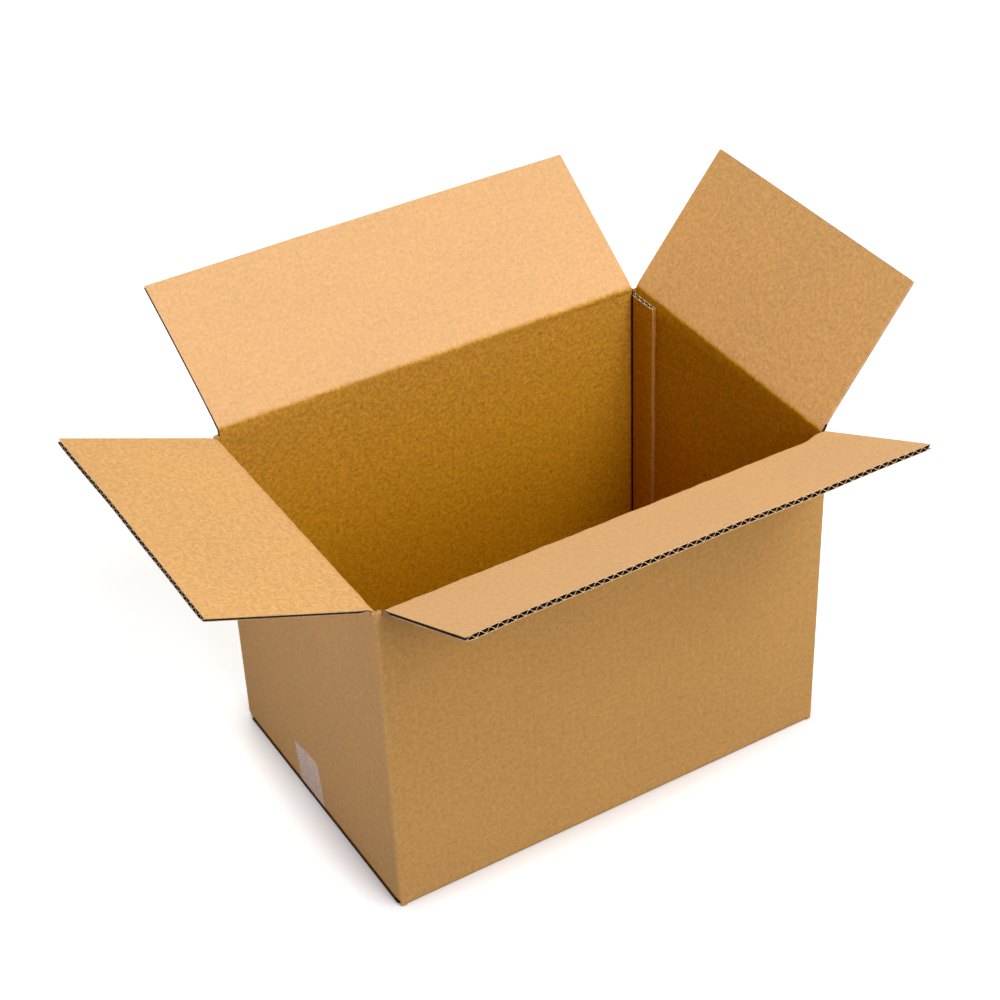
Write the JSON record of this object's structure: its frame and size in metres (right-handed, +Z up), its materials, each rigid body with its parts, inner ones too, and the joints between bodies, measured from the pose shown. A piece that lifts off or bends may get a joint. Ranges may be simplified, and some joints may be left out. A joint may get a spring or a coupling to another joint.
{
  "type": "open cardboard box",
  "caption": "Rectangular corrugated carton standing open, its top flaps folded outwards and its bottom seam closed with clear tape.",
  "frame": {"origin": "middle of the carton's footprint, on its underside", "axes": "+X along the long side, left to right seen from the front; +Y from front to back; +Z up"},
  "size_m": [0.6948, 0.5717, 0.4591],
  "materials": {
    "kraft_board": "matte",
    "clear_tape": "gloss"
  },
  "bodies": {
    "carton": {"carton_body": "kraft_board", "bottom_tape": "clear_tape"},
    "front_flap": {"front_flap": "kraft_board"},
    "right_flap": {"right_flap": "kraft_board"},
    "back_flap": {"back_flap": "kraft_board"},
    "left_flap": {"left_flap": "kraft_board"}
  },
  "joints": [
    {"name": "front_flap_crease", "type": "hinge", "parent": "carton", "child": "front_flap", "pos_m": [0, -0.1532, 0.3398], "axis": [1, 0, 0], "range_deg": [-155.7, 94.3]},
    {"name": "right_flap_crease", "type": "hinge", "parent": "carton", "child": "right_flap", "pos_m": [0.2292, 0, 0.3349], "axis": [0, 1, 0], "range_deg": [-127.2, 122.8]},
    {"name": "back_flap_crease", "type": "hinge", "parent": "carton", "child": "back_flap", "pos_m": [0, 0.1532, 0.3398], "axis": [-1, 0, 0], "range_deg": [-144.9, 105.1]},
    {"name": "left_flap_crease", "type": "hinge", "parent": "carton", "child": "left_flap", "pos_m": [-0.2292, 0, 0.3349], "axis": [0, -1, 0], "range_deg": [-159.2, 90.8]}
  ]
}
